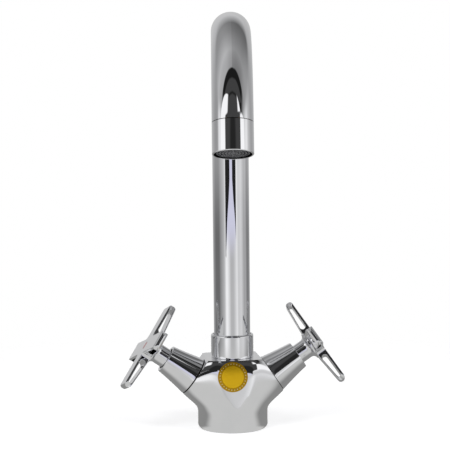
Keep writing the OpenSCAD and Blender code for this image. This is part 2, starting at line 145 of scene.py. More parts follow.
def noise(tree, size, detail=3.0, stretch=(1, 1, 1)):
    """A noise whose lumps are about size metres across, stretched along the object's axes."""
    place = add_node(tree, "ShaderNodeTexCoord")
    scaled = add_node(tree, "ShaderNodeMapping", {"Vector": place.outputs["Object"], "Scale": stretch})
    lumps = {"Vector": scaled.outputs["Vector"], "Scale": 1 / size, "Detail": detail}
    return add_node(tree, "ShaderNodeTexNoise", lumps).outputs["Fac"]


def clouded(tree, shader, lumps, low, high):
    """Lets the colour wander between two sRGB hex colours. lumps is the size, detail and stretch of the noise
    that it follows."""
    ends = {"Factor": noise(tree, *lumps), "A": linear(low), "B": linear(high)}
    colour = add_node(tree, "ShaderNodeMix", ends, data_type="RGBA")
    tree.links.new(colour.outputs["Result"], shader.inputs["Base Color"])


def smeared(tree, shader, lumps, low, high):
    """Lets the roughness wander between low and high, as a noise of these lumps does."""
    ends = {"Value": noise(tree, *lumps), "From Min": 0.3, "From Max": 0.7, "To Min": low, "To Max": high}
    haze = add_node(tree, "ShaderNodeMapRange", ends)
    tree.links.new(haze.outputs["Result"], shader.inputs["Roughness"])


def rippled(tree, shader, lumps, depth):
    """Raises and sinks the surface by up to depth metres, as a noise of these lumps does."""
    height = noise(tree, *lumps)
    relief = add_node(tree, "ShaderNodeBump", {"Height": height, "Strength": 1.0, "Distance": depth})
    tree.links.new(relief.outputs["Normal"], shader.inputs["Normal"])


def polished_chrome(name, ripple, depth, haze, stretch=(1, 1, 1)):
    """Chrome plate over polished brass. Its shine is nearly perfect: the eye sees the slow ripple of the
    polishing and a faint haze that wanders over it, but no grain."""
    material, tree, shader = new_material(name, Metallic=1.0)
    clouded(tree, shader, (14 * mm, 4.0), "#EBECEF", "#F6F6F8")
    smeared(tree, shader, (5 * mm, 5.0), *haze)
    rippled(tree, shader, (ripple, 1.0, stretch), depth)
    return material


def new_piece(bm, name, material, body, sharp=35, even=True):
    """Turns a bmesh into a piece, riding on a body. It is smooth up to a sharp angle in degrees, and even
    keeps the shading of flat faces flat up to their rounded edges."""
    bmesh.ops.recalc_face_normals(bm, faces=bm.faces)
    mesh = bpy.data.meshes.new(name)
    bm.to_mesh(mesh)
    bm.free()
    mesh.shade_smooth()
    mesh.set_sharp_from_angle(angle=radians(sharp))
    mesh.materials.append(material)
    piece = bpy.data.objects.new(name, mesh)
    bpy.context.scene.collection.objects.link(piece)
    if even:
        weighted = piece.modifiers.new("even_shading", "WEIGHTED_NORMAL")
        weighted.keep_sharp = True
        apply_modifiers(piece)
    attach(piece, body)
    return piece


def apply_modifiers(piece):
    """Makes the piece's modifiers part of its mesh."""
    shaped = bpy.data.meshes.new_from_object(piece.evaluated_get(bpy.context.evaluated_depsgraph_get()))
    old = piece.data
    piece.modifiers.clear()
    piece.data = shaped
    bpy.data.meshes.remove(old)


def on_valve(side, s=0.0, turn=0.0):
    """The frame of a valve's axis, with +Z outwards. side is -1 for hot on the left and 1 for cold."""
    tilt = Matrix.Rotation(side * (pi / 2 - valve_tilt), 4, "Y")
    along = Matrix.Translation((0, 0, s)) @ Matrix.Rotation(turn, 4, "Z")
    return Matrix.Translation(valve_cross) @ tilt @ along


def turned(bm, outline, place=Matrix(), rounded=(), steps=96, closed=True):
    """Spins an outline of (radius, height) points about the Z axis of place, as a lathe would. It is closed
    back to its first point or left open. rounded holds (point number, radius) for each broken edge."""
    lathe = bmesh.new()
    verts = [lathe.verts.new((r, 0, z)) for r, z in outline]
    for a, b in zip(verts, verts[1:] + (verts[:1] if closed else [])):
        lathe.edges.new((a, b))
    for number, radius in rounded:
        bmesh.ops.bevel(lathe, geom=[verts[number]], offset=radius, offset_type="OFFSET", segments=5,
                        profile=0.5, affect="VERTICES", material=-1)
    bmesh.ops.spin(lathe, geom=lathe.verts[:] + lathe.edges[:], cent=(0, 0, 0), axis=(0, 0, 1),
                   dvec=(0, 0, 0), angle=2 * pi, steps=steps, use_merge=True, use_duplicate=False)
    bmesh.ops.remove_doubles(lathe, verts=lathe.verts, dist=1e-7)
    bmesh.ops.dissolve_degenerate(lathe, edges=lathe.edges, dist=1e-7)
    bmesh.ops.recalc_face_normals(lathe, faces=lathe.faces)
    bmesh.ops.transform(lathe, matrix=place, verts=lathe.verts)
    part = bpy.data.meshes.new("part")
    lathe.to_mesh(part)
    lathe.free()
    bm.from_mesh(part)
    bpy.data.meshes.remove(part)


def level(bm, rise):
    """One level outline of the casting, from 0 at the round foot to 1 at the flat top. Its front and back
    lean only a little, bend quickly close to the top and roll over beyond it."""
    within = min(rise, 1)
    lean = (1 - dome_share) * within + dome_share * within ** dome_power + roll_slope * (rise - within)
    corner = foot_r + (top_corner_r - foot_r) * rise ** corner_power
    half_w = foot_r + (top_half_w - foot_r) * rise - corner
    front, back = (foot_r + (reach - foot_r) * lean - corner for reach in (top_front, top_back))
    for x in (-half_w, half_w):
        for y in (-front, back):
            spot = Matrix.Translation((x, y, foot_h + (top_z - foot_h) * rise))
            bmesh.ops.create_circle(bm, segments=48, radius=corner, matrix=spot)


# The rough casting is a skin drawn over the level outlines and the two seats, on a turned foot.
rough = bmesh.new()
for rise in level_rises:
    level(rough, rise)
for side in (-1, 1):
    for s in (seat_s - seat_inside, seat_s + seat_outside):
        bmesh.ops.create_circle(rough, segments=96, radius=seat_r, matrix=on_valve(side, s))
rough.verts.new((0, 0, skin_low_z))
bmesh.ops.convex_hull(rough, input=rough.verts)
turned_foot = bmesh.new()
turned(turned_foot, [(0, -foot_below), (foot_r - foot_edge_r, -foot_below), (foot_r - foot_edge_r, 0),
                     (foot_r, foot_edge_r), (foot_r, foot_h), (0, foot_h)], rounded=((3, foot_round_r),))

# Rays from its middle find its outside, and grinding melts the edges together. The machined faces are cut
# flat.
heart = Vector((0, 0, heart_z))
cast = bmesh.new()
bmesh.ops.create_icosphere(cast, subdivisions=7, radius=1)
trees = [BVHTree.FromBMesh(shape) for shape in (rough, turned_foot)]
for vert in cast.verts:
    ray = vert.co.normalized()
    vert.co = heart + ray * max(tree.ray_cast(heart, ray)[3] or 0 for tree in trees)
rough.free()
turned_foot.free()
above_foot = [vert for vert in cast.verts if vert.co.z > grind_from_z]
for _ in range(grind_passes):
    bmesh.ops.smooth_vert(cast, verts=above_foot, factor=0.5, use_axis_x=True, use_axis_y=True,
                          use_axis_z=True)
planes = [(Vector((0, 0, top_z)), Vector((0, 0, 1))), (Vector((0, 0, 0)), Vector((0, 0, -1)))]
planes += [(on_valve(side, seat_s).translation, on_valve(side).to_3x3() @ Vector((0, 0, 1)))
           for side in (-1, 1)]
for point, normal in planes:
    made = bmesh.ops.bisect_plane(cast, geom=cast.verts[:] + cast.edges[:] + cast.faces[:], dist=1e-6,
                                  plane_co=point, plane_no=normal, clear_outer=True)
    bmesh.ops.edgeloop_fill(cast, edges=[e for e in made["geom_cut"] if isinstance(e, bmesh.types.BMEdge)])
bmesh.ops.remove_doubles(cast, verts=cast.verts, dist=1e-6)

chrome_cast = polished_chrome("hand_polished_chrome", ripple=18 * mm, depth=0.03 * mm, haze=(0.015, 0.05))
cast_body = new_piece(cast, "cast_body", chrome_cast, "faucet_body", sharp=30, even=False)
bores = bmesh.new()
for side in (-1, 1):
    turned(bores, [(0, -socket_depth - inlet_depth), (inlet_r, -socket_depth - inlet_depth),
                   (inlet_r, -socket_depth), (socket_r, -socket_depth), (socket_r, cut_over), (0, cut_over)],
           on_valve(side, seat_s), steps=64)
    turned(bores, [(0, -cut_over), (hose_r, -cut_over), (hose_r, hose_depth), (0, hose_depth)],
           Matrix.Translation((side * hose_x, 0, 0)), steps=48)
turned(bores, [(0, -cut_over), (stud_r, -cut_over), (stud_r, stud_depth), (0, stud_depth)],
       Matrix.Translation((0, stud_y, 0)), steps=48)
turned(bores, [(groove_in_r, -cut_over), (groove_out_r, -cut_over), (groove_out_r, groove_depth),
               (groove_in_r, groove_depth)])
spout_bore = bmesh.new()
turned(spout_bore, [(0, chamber_z), (chamber_r, chamber_z), (chamber_r, foot_bore_z),
                    (foot_bore_r, foot_bore_z), (foot_bore_r, top_z + cut_over), (0, top_z + cut_over)])
for cutter in (bores, spout_bore):
    cutter_mesh = bpy.data.meshes.new("bores")
    cutter.to_mesh(cutter_mesh)
    cutter.free()
    cutter_mesh.materials.append(chrome_cast)
    drill = bpy.data.objects.new("bores", cutter_mesh)
    bpy.context.scene.collection.objects.link(drill)
    bored = cast_body.modifiers.new("bored", "BOOLEAN")
    bored.operation = "DIFFERENCE"
    bored.solver = "MANIFOLD"
    bored.object = drill
    apply_modifiers(cast_body)
    bpy.data.objects.remove(drill)
    bpy.data.meshes.remove(cutter_mesh)
cast_body.data.shade_smooth()
cast_body.data.set_sharp_from_angle(angle=radians(30))
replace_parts(cast_body, "body")

# The spigot that the collar screws down over was turned on the same casting.
spigot = bmesh.new()
turned(spigot, [(foot_bore_r, top_z), (spigot_r, top_z), (spigot_r, top_z + spigot_h),
                (foot_bore_r, top_z + spigot_h)], rounded=((2, spigot_edge_r),))
new_piece(spigot, "body_spigot", chrome_cast, "faucet_body")


# A round label is stuck on the body's front, a little off its middle. It is gold foil, printed with a darker
# rim and a ring of dots, and pressed down so that it follows the casting.
label_r = 10.25 * mm
label_x = -2.6 * mm
label_z = 38.7 * mm
label_t = 0.12 * mm
label_rings = 12
label_rim_r = 7.4 * mm
label_rim_soft = 0.12 * mm
label_dots = 28
label_dot_r = 0.36 * mm
label_dot_soft = 0.08 * mm
press_from = 8 * mm
casting_skin = BVHTree.FromObject(cast_body, bpy.context.evaluated_depsgraph_get())
label_spot, label_out, _, _ = casting_skin.ray_cast(Vector((label_x, -1, label_z)), Vector((0, 1, 0)))
label_right = Vector((0, 0, 1)).cross(label_out).normalized()
label_frame = Matrix((label_right, label_out.cross(label_right), label_out)).transposed().to_4x4()
label_frame.translation = label_spot


def foil():
    """Gold foil with a darker printed rim and a ring of pale dots. It is crinkled a little, so that its shine
    breaks."""
    material, tree, shader = new_material("gold_foil", Metallic=0.75)
    dots_r = (label_r + label_rim_r) / 2
    pitch = 2 * pi * dots_r / label_dots
    place = add_node(tree, "ShaderNodeTexCoord")
    local = add_node(tree, "ShaderNodeMapping", {"Vector": place.outputs["Object"], "Location": label_spot,
                                                 "Rotation": label_frame.to_euler()}, vector_type="TEXTURE")
    flat = add_node(tree, "ShaderNodeVectorMath", {0: local, 1: (1, 1, 0)}, operation="MULTIPLY")
    radius = add_node(tree, "ShaderNodeVectorMath", {0: flat}, operation="LENGTH")
    turn = add_node(tree, "ShaderNodeTexGradient", {"Vector": flat}, gradient_type="RADIAL")
    count = add_node(tree, "ShaderNodeMath", {0: turn.outputs["Fac"], 1: label_dots}, operation="MULTIPLY")
    share = add_node(tree, "ShaderNodeMath", {0: count}, operation="FRACT")
    along = add_node(tree, "ShaderNodeMath", {0: share, 1: pitch, 2: -pitch / 2}, operation="MULTIPLY_ADD")
    out = add_node(tree, "ShaderNodeMath", {0: radius, 1: dots_r}, operation="SUBTRACT")
    from_dot = add_node(tree, "ShaderNodeCombineXYZ", {"X": along, "Y": out})
    to_dot = add_node(tree, "ShaderNodeVectorMath", {0: from_dot}, operation="LENGTH")
    rim = add_node(tree, "ShaderNodeMapRange", {"Value": radius, "From Min": label_rim_r - label_rim_soft,
                                                "From Max": label_rim_r + label_rim_soft})
    dot = add_node(tree, "ShaderNodeMapRange", {"Value": to_dot, "From Min": label_dot_r - label_dot_soft,
                                                "From Max": label_dot_r + label_dot_soft})
    gold = add_node(tree, "ShaderNodeMix", {"Factor": rim, "A": linear("#FFCE1C"), "B": linear("#C79A12")},
                    data_type="RGBA")
    printed = add_node(tree, "ShaderNodeMix", {"Factor": dot, "A": linear("#F7E7B0"), "B": gold},
                       data_type="RGBA")
    tree.links.new(printed.outputs["Result"], shader.inputs["Base Color"])
    smeared(tree, shader, (1.5 * mm, 4.0), 0.28, 0.42)
    rippled(tree, shader, (2.5 * mm, 3.0), 0.03 * mm)
    return material


label = bmesh.new()
label_outline = [(label_r * i / label_rings, label_t) for i in range(label_rings + 1)]
turned(label, label_outline + [(label_r, -label_t / 2)], label_frame, closed=False)
bmesh.ops.edgeloop_fill(label, edges=[edge for edge in label.edges if edge.is_boundary])
for vert in label.verts:
    across, up, lift = label_frame.inverted() @ vert.co
    spot = label_frame @ Vector((across, up, 0))
    touch = casting_skin.ray_cast(spot + label_out * press_from, -label_out)[0] or spot
    vert.co = touch + label_out * lift
new_piece(label, "foil_label", foil(), "faucet_body", sharp=40, even=False)


# The base seal is a square ring of moulded rubber. It lies loose in a groove under the foot, is pressed flat
# as the stud is tightened, and keeps water off the tap hole.
def dress(material, *names):
    """Gives CAD nodes their finish."""
    for name in names:
        for index in range(len(nodes[name].material_slots)):
            nodes[name].material_slots[index].material = material


def moulded_rubber():
    """Black moulded rubber: dull, with a bloom of paler dust and the fine grain of its mould."""
    material, tree, shader = new_material("black_moulded_rubber")
    clouded(tree, shader, (3 * mm, 5.0), "#161617", "#2B2B2C")
    smeared(tree, shader, (1 * mm, 4.0), 0.5, 0.75)
    rippled(tree, shader, (0.4 * mm, 4.0), 0.02 * mm)
    return material


rubber = moulded_rubber()
dress(rubber, "base_seal")


# Each valve is a headwork turned from brass hexagon bar, with a spindle that turns one ceramic disc on
# another. A rubber seal lies under the discs, two O-rings close the spindle and a steel clip holds it in.
def turned_brass():
    """Free-cutting brass straight from the lathe: warm yellow, with the fine rings of the tool and dull spots
    where fingers have touched it."""
    material, tree, shader = new_material("turned_brass", Metallic=1.0)
    clouded(tree, shader, (6 * mm, 5.0), "#B98E45", "#DDB766")
    smeared(tree, shader, (2.5 * mm, 5.0), 0.2, 0.42)
    rippled(tree, shader, (0.5 * mm, 2.0, (1, 1, 6)), 0.01 * mm)
    return material


def fired_ceramic():
    """White alumina, lapped to a soft sheen. It is a little translucent, with faint cream clouds."""
    material, tree, shader = new_material("white_alumina", Subsurface_Weight=0.1, Subsurface_Scale=0.8 * mm)
    clouded(tree, shader, (4 * mm, 4.0), "#E9E4D8", "#F5F2EA")
    smeared(tree, shader, (1.5 * mm, 3.0), 0.16, 0.3)
    rippled(tree, shader, (0.3 * mm, 3.0), 0.004 * mm)
    return material


def stainless():
    """Stainless steel as stamped or rolled: a grey sheen with fine scratches along one way."""
    material, tree, shader = new_material("stainless_steel", Metallic=1.0)
    clouded(tree, shader, (5 * mm, 4.0), "#A9ABAE", "#CACCCE")
    smeared(tree, shader, (0.6 * mm, 4.0, (1, 8, 1)), 0.22, 0.4)
    rippled(tree, shader, (0.35 * mm, 3.0, (1, 10, 1)), 0.006 * mm)
    return material


brass = turned_brass()
ceramic = fired_ceramic()
steel = stainless()
for hand in ("left", "right"):
    dress(brass, hand + "_valve", hand + "_stem")
    dress(ceramic, hand + "_fixed_disc", hand + "_moving_disc")
    dress(rubber, hand + "_seat_seal", hand + "_stem_o_rings")
    dress(steel, hand + "_stem_clip")


# The covers are turned from brass and chromed. Each slips over a headwork and hides its hexagon, and a fine
# shadow gap parts it from the body's seat.
cover_big_r = 13.75 * mm
cover_small_r = 9.75 * mm
cover_l = 22.6 * mm
cover_waist = 0.2 * mm
cover_wall = 1.4 * mm
cover_gap = 0.45 * mm
cover_foot_edge_r = 0.15 * mm
cover_mouth_r = 7.35 * mm
cover_mouth_t = 1.8 * mm
cover_mouth_edge_r = 0.3 * mm
lead_in = 0.7 * mm
land_r = 8.1 * mm
land_start, land_end = 11.9 * mm, 15.9 * mm
flank_steps = 12
bore_edge = 0.2 * mm
chrome_turned = polished_chrome("turned_chrome", ripple=9 * mm, depth=0.012 * mm, haze=(0.01, 0.035))


def bore_painted_shade():
    """Brass inside a bore, dull and coloured nearly black as painted shade, so that the gap
    at a cover's mouth reads as a dark ring."""
    material, tree, shader = new_material("brass_bore_painted_shade", Metallic=1.0)
    clouded(tree, shader, (3 * mm, 4.0), "#1C1813", "#3A3125")
    smeared(tree, shader, (1.2 * mm, 4.0), 0.45, 0.65)
    rippled(tree, shader, (0.5 * mm, 2.0), 0.01 * mm)
    return material


def cover_r(s):
    """The cover's outer radius at a distance from its seat."""
    return cover_big_r + (cover_small_r - cover_big_r) * s / cover_l - cover_waist * sin(pi * s / cover_l)


bore_shade_material = bore_painted_shade()
inside_l = cover_l - cover_mouth_t
flank = [(cover_r(s), s) for s in (cover_l * i / flank_steps for i in range(1, flank_steps + 1))]
cover_outline = [(cover_big_r - cover_gap, 0), (cover_big_r - cover_gap, cover_gap), (cover_big_r, cover_gap)]
cover_outline += flank
cover_outline += [(cover_mouth_r + lead_in, cover_l), (cover_mouth_r, cover_l - lead_in),
                  (cover_mouth_r, inside_l), (cover_r(inside_l) - cover_wall, inside_l),
                  (cover_r(land_end) - cover_wall, land_end), (land_r, land_end), (land_r, land_start),
                  (cover_r(land_start) - cover_wall, land_start), (cover_big_r - cover_gap - cover_wall, 0)]
cover_rounds = ((2, cover_foot_edge_r), (2 + flank_steps, cover_mouth_edge_r),
                (3 + flank_steps, cover_mouth_edge_r))
for hand, side in (("left", -1), ("right", 1)):
    cover = bmesh.new()
    turned(cover, cover_outline, on_valve(side, seat_s), cover_rounds, steps=128)
    piece = new_piece(cover, hand + "_turned_cover", chrome_turned, "faucet_body", sharp=30)
    # The faces inside the cover's bore take the painted shade, nearly black.
    piece.data.materials.append(bore_shade_material)
    to_axis = on_valve(side, seat_s).inverted()
    for face in piece.data.polygons:
        spot = to_axis @ face.center
        if spot.z < cover_l - bore_edge and spot.xy.length < cover_r(spot.z) - bore_edge:
            face.material_index = 1
    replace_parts(piece, hand + "_cover")


# The handles are die castings, chromed. Four arms, each a flat loop with a window through its sides, stand
# round a hub with a flared neck. All their edges are rounded for the hand.
hub_t = 7.6 * mm
arm_reach = 33 * mm
arm_root_w = 12.4 * mm
arm_tip_w = 14 * mm
arm_tip_t = 5 * mm
arm_corner_r = 3 * mm
crotch_r = 3 * mm
outer_plate = 1.8 * mm
inner_plate = 1 * mm
window_start, window_end = 11.4 * mm, 29.8 * mm
neck_r = 6.75 * mm
neck_flare_r = 3.1 * mm
neck_l = 12 * mm
spline_bore_r = 4.1 * mm
hub_s = 72.99 * mm
clocking = radians(20)
dot_r = 2.9 * mm
dot_depth = 1 * mm
dot_steps = 48
grip_edge_r = 0.42 * mm
grip_sharp = radians(32)
unbroken_r = 4 * mm
neck_sink = 0.5 * mm
neck_edge_r = 0.3 * mm
flare_steps = 10
chrome_cast_handle = polished_chrome("die_cast_chrome", ripple=12 * mm, depth=0.02 * mm, haze=(0.02, 0.05))


def arm_t(r):
    """How thick an arm is at a distance from the handle's axis."""
    return hub_t + (arm_tip_t - hub_t) * r / arm_reach


def arm_half_w(r):
    """Half the width of an arm, with its tip's corners rounded in plan."""
    straight = arm_reach - arm_corner_r
    half = (arm_root_w + (arm_tip_w - arm_root_w) * min(r / straight, 1)) / 2
    if r > straight:
        half += sqrt(max(arm_corner_r ** 2 - (r - straight) ** 2, 0)) - arm_corner_r
    return half


def add_arm(bm, root, turn, steps=8):
    """One looped arm from its root outwards: matching outlines outside and round its window, joined by
    faces."""
    start_r = (arm_t(window_start) - outer_plate - inner_plate) / 2
    end_r = (arm_t(window_end) - outer_plate - inner_plate) / 2
    tip_r = arm_tip_t / 2
    outside, window = [], []
    for i in range(steps + 1):
        angle = pi * 1.5 - pi * i / steps
        outside.append((root, -arm_t(root) * (1 - i / steps)))
        window.append((window_start + start_r * (1 + cos(angle)), start_r * (sin(angle) - 1) - outer_plate))
    for i in range(steps + 1):
        angle = pi / 2 - pi * i / steps
        outside.append((arm_reach - tip_r + tip_r * cos(angle), tip_r * (sin(angle) - 1)))
        window.append((window_end - end_r + end_r * cos(angle), end_r * (sin(angle) - 1) - outer_plate))
    rows = []
    for points in (outside, window):
        for flank_side in (-1, 1):
            rows.append([bm.verts.new(turn @ Vector((r, flank_side * arm_half_w(r), z))) for r, z in points])
    count = len(outside)
    for i in range(count):
        j = (i + 1) % count
        if i >= steps:
            bm.faces.new((rows[0][i], rows[0][j], rows[1][j], rows[1][i]))
        bm.faces.new((rows[2][i], rows[2][j], rows[3][j], rows[3][i]))
        bm.faces.new((rows[0][i], rows[0][j], rows[2][j], rows[2][i]))
        bm.faces.new((rows[1][i], rows[1][j], rows[3][j], rows[3][i]))


def add_hub(bm, root, steps=8):
    """The block between the arms, with hollow corners, a round recess in its face and a closed underside."""
    half = arm_half_w(root)
    lower = -arm_t(root)
    rims = {0.0: [], lower: []}
    for quarter in range(4):
        turn = Matrix.Rotation(pi / 2 * quarter, 4, "Z")
        columns = []
        for i in range(steps + 1):
            angle = -pi / 2 - pi / 2 * i / steps
            x, y = root + (root - half) * cos(angle), root + (root - half) * sin(angle)
            heights = [lower * (1 - k / steps) for k in range(steps + 1)]
            columns.append([bm.verts.new(turn @ Vector((x, y, z))) for z in heights])
        for a, b in zip(columns, columns[1:]):
            for k in range(steps):
                bm.faces.new((a[k], b[k], b[k + 1], a[k + 1]))
        rims[0.0].extend(column[-1] for column in columns)
        rims[lower].extend(column[0] for column in columns)
    edges = {z: [bm.edges.get((a, b)) or bm.edges.new((a, b)) for a, b in zip(rim, rim[1:] + rim[:1])]
             for z, rim in rims.items()}
    dot_angles = [2 * pi * i / dot_steps for i in range(dot_steps)]
    recess = [bm.verts.new((dot_r * cos(angle), dot_r * sin(angle), 0)) for angle in dot_angles]
    sunk = [bm.verts.new(vert.co - Vector((0, 0, dot_depth))) for vert in recess]
    ring = [bm.edges.new((a, b)) for a, b in zip(recess, recess[1:] + recess[:1])]
    for i in range(dot_steps):
        j = (i + 1) % dot_steps
        bm.faces.new((recess[i], recess[j], sunk[j], sunk[i]))
    bm.faces.new(sunk)
    bmesh.ops.triangle_fill(bm, edges=edges[0.0] + ring, use_beauty=True, normal=(0, 0, 1))
    bmesh.ops.triangle_fill(bm, edges=edges[lower], use_beauty=True, normal=(0, 0, -1))


for hand, side, body in (("left", -1, "hot_handle"), ("right", 1, "cold_handle")):
    grip = bmesh.new()
    root = crotch_r + arm_half_w(crotch_r + arm_root_w / 2)
    for quarter in range(4):
        add_arm(grip, root, Matrix.Rotation(pi / 2 * quarter, 4, "Z"))
    add_hub(grip, root)
    bmesh.ops.remove_doubles(grip, verts=grip.verts, dist=2e-6)
    bmesh.ops.recalc_face_normals(grip, faces=grip.faces)
    corners = [edge for edge in grip.edges if edge.is_manifold and edge.calc_face_angle() > grip_sharp
               and min(vert.co.xy.length for vert in edge.verts) > unbroken_r]
    bmesh.ops.bevel(grip, geom=corners, offset=grip_edge_r, segments=3, profile=0.5, affect="EDGES",
                    material=-1, clamp_overlap=True)
    place = on_valve(side, hub_s, -side * clocking)
    bmesh.ops.transform(grip, matrix=place, verts=grip.verts)
    piece = new_piece(grip, hand + "_cross_handle", chrome_cast_handle, body, sharp=40)
    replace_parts(piece, hand + "_handle")
    flare_r = neck_r + neck_flare_r
    outline = [(spline_bore_r, -hub_t - neck_l), (neck_r, -hub_t - neck_l), (neck_r, -hub_t - neck_flare_r)]
    flare_angles = [pi / 2 * i / flare_steps for i in range(1, flare_steps + 1)]
    outline += [(flare_r - neck_flare_r * cos(angle), -hub_t - neck_flare_r * (1 - sin(angle)))
                for angle in flare_angles]
    outline += [(flare_r, -arm_t(root) + neck_sink), (spline_bore_r, -arm_t(root) + neck_sink)]
    neck = bmesh.new()
    turned(neck, outline, place, rounded=((1, neck_edge_r), (2 + flare_steps, neck_edge_r)))
    new_piece(neck, hand + "_handle_neck", chrome_cast_handle, body, sharp=40)


# A small stainless grub screw sits in the side of each handle's neck. It is driven in with a hexagon key and
# clamps the handle to its spindle.
dress(steel, "left_handle_screw", "right_handle_screw")


# A dot of enamel in the middle of each handle marks hot with red and cold with blue. It is poured into a
# shallow round recess in the casting's face and baked hard.
def enamel(name, deep, bright):
    """Enamel poured into a recess: glossy and a little uneven, deeper in colour where it is thicker."""
    material, tree, shader = new_material(name, Coat_Weight=0.6, Coat_Roughness=0.04)
    clouded(tree, shader, (1.5 * mm, 3.0), deep, bright)
    smeared(tree, shader, (0.8 * mm, 3.0), 0.15, 0.3)
    rippled(tree, shader, (2 * mm, 1.0), 0.01 * mm)
    return material


dress(enamel("red_enamel", "#A3161C", "#C42A2C"), "left_index")
dress(enamel("blue_enamel", "#16439E", "#2A63C4"), "right_index")


# The spout turns in the body on a brass foot with two O-rings. A white split ring, cut from plastic rod, lies
# under the collar's lip, lets the spout turn and keeps it down.
def acetal():
    """White acetal, turned from rod: waxy, slightly see-through at its edges."""
    material, tree, shader = new_material("white_acetal", Subsurface_Weight=0.2, Subsurface_Scale=1 * mm)
    clouded(tree, shader, (5 * mm, 3.0), "#E4E3DC", "#F1F0EB")
    smeared(tree, shader, (1 * mm, 4.0), 0.3, 0.45)
    rippled(tree, shader, (0.5 * mm, 2.0, (1, 1, 8)), 0.008 * mm)
    return material


dress(brass, "spout_foot", "outlet_nipple")
dress(rubber, "spout_o_rings", "aerator_seal")
dress(acetal(), "spout_split_ring")


# The collar is a smooth round nut at the spout's foot, turned from brass and chromed. It is screwed down over
# the body's spigot, and its lip keeps the spout in.
collar_r = (collar_high.x - collar_low.x) / 2
collar_h = collar_high.z - collar_low.z
collar_foot_edge_r = 0.35 * mm
collar_edge_r = 1.2 * mm
collar_mouth_edge_r = 0.25 * mm
collar_lip = 2.5 * mm
collar_mouth_r = 12.9 * mm
collar_bore_r = 13.5 * mm
collar = bmesh.new()
turned(collar, [(collar_bore_r, top_z), (collar_r, top_z), (collar_r, top_z + collar_h),
                (collar_mouth_r, top_z + collar_h), (collar_mouth_r, top_z + collar_h - collar_lip),
                (collar_bore_r, top_z + collar_h - collar_lip)],
       rounded=((1, collar_foot_edge_r), (2, collar_edge_r), (3, collar_mouth_edge_r)), steps=128)
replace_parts(new_piece(collar, "turned_collar", chrome_turned, "faucet_body", sharp=30), "collar")


# The spout is a drawn brass tube, bent to a gooseneck, belt polished along its length and chromed. The ring
# at its outlet is turned from brass and chromed to match, and screws onto a nipple behind a fine seam.
chrome_drawn = polished_chrome("drawn_tube_chrome", ripple=22 * mm, depth=0.012 * mm, haze=(0.008, 0.03),
                               stretch=(1, 1, 0.3))
dress(chrome_drawn, "spout_tube")
dress(chrome_turned, "aerator_housing")


# A dark plastic cage with a ringed grille sits in the outlet's ring, over it a perforated steel disc. Moulded
# and stamped parts of a bought insert, they break the water into a soft stream.
cage_rim_r = 9.9 * mm
cage_rim_soft = 0.2 * mm
cage_low, cage_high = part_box("aerator_cage")
ring_low, ring_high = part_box("aerator_housing")
outlet_middle = (cage_low + cage_high) / 2
outlet_axis = ((ring_low + ring_high) / 2 - outlet_middle).normalized()


def grille_plastic():
    """Dark grey acetal, moulded: a satin sheen with a fine mould grain. Its rim, close to the metal ring, is
    dull and painted nearly black as painted shade of the gap there."""
    material, tree, shader = new_material("grey_moulded_plastic")
    place = add_node(tree, "ShaderNodeTexCoord")
    local = add_node(tree, "ShaderNodeVectorMath", {0: place.outputs["Object"], 1: outlet_middle},
                     operation="SUBTRACT")
    across = add_node(tree, "ShaderNodeVectorMath", {0: local, 1: outlet_axis}, operation="CROSS_PRODUCT")
    radius = add_node(tree, "ShaderNodeVectorMath", {0: across}, operation="LENGTH")
    rim = add_node(tree, "ShaderNodeMapRange", {"Value": radius, "From Min": cage_rim_r - cage_rim_soft,
                                                "From Max": cage_rim_r + cage_rim_soft})
    cloud = add_node(tree, "ShaderNodeMix", {"Factor": noise(tree, 2 * mm, 4.0), "A": linear("#3C3D41"),
                                             "B": linear("#56575C")}, data_type="RGBA")
    # The rim is painted nearly black: painted shade of the gap at the metal ring.
    rim_painted_shade = add_node(tree, "ShaderNodeMix", {"Factor": rim, "A": cloud, "B": linear("#0B0B0C")},
                      data_type="RGBA")
    sheen = add_node(tree, "ShaderNodeMapRange", {"Value": rim, "To Min": 0.5, "To Max": 0.0})
    tree.links.new(rim_painted_shade.outputs["Result"], shader.inputs["Base Color"])
    tree.links.new(sheen.outputs["Result"], shader.inputs["Specular IOR Level"])
    smeared(tree, shader, (0.8 * mm, 4.0), 0.25, 0.4)
    rippled(tree, shader, (0.3 * mm, 3.0), 0.01 * mm)
    return material


dress(grille_plastic(), "aerator_cage")
dress(steel, "aerator_screen")


# The camera stands where the photograph was taken from: just over a metre away with a long lens, a little
# above the body. The body is turned seven degrees from it, so that the spout comes straight at it.
view_turn = radians(7.36)
view_drop = radians(5.15)
view_roll = radians(-0.55)
photo_px = 450
focal_px = 1682
sensor = 36.0
view_from = Vector((-4.18 * mm, -1150.2 * mm, 244.2 * mm))
camera_data = bpy.data.cameras.new("camera")
camera_data.sensor_width = sensor
camera_data.lens = focal_px / photo_px * sensor
camera = bpy.data.objects.new("camera", camera_data)
camera_spot = Matrix.Rotation(-view_turn, 4, "Z") @ view_from
camera_turn = Matrix.Rotation(-view_turn, 4, "Z") @ Matrix.Rotation(pi / 2 - view_drop, 4, "X")
camera.matrix_world = Matrix.Translation(camera_spot) @ camera_turn @ Matrix.Rotation(view_roll, 4, "Z")
bpy.context.scene.collection.objects.link(camera)
bpy.context.scene.camera = camera


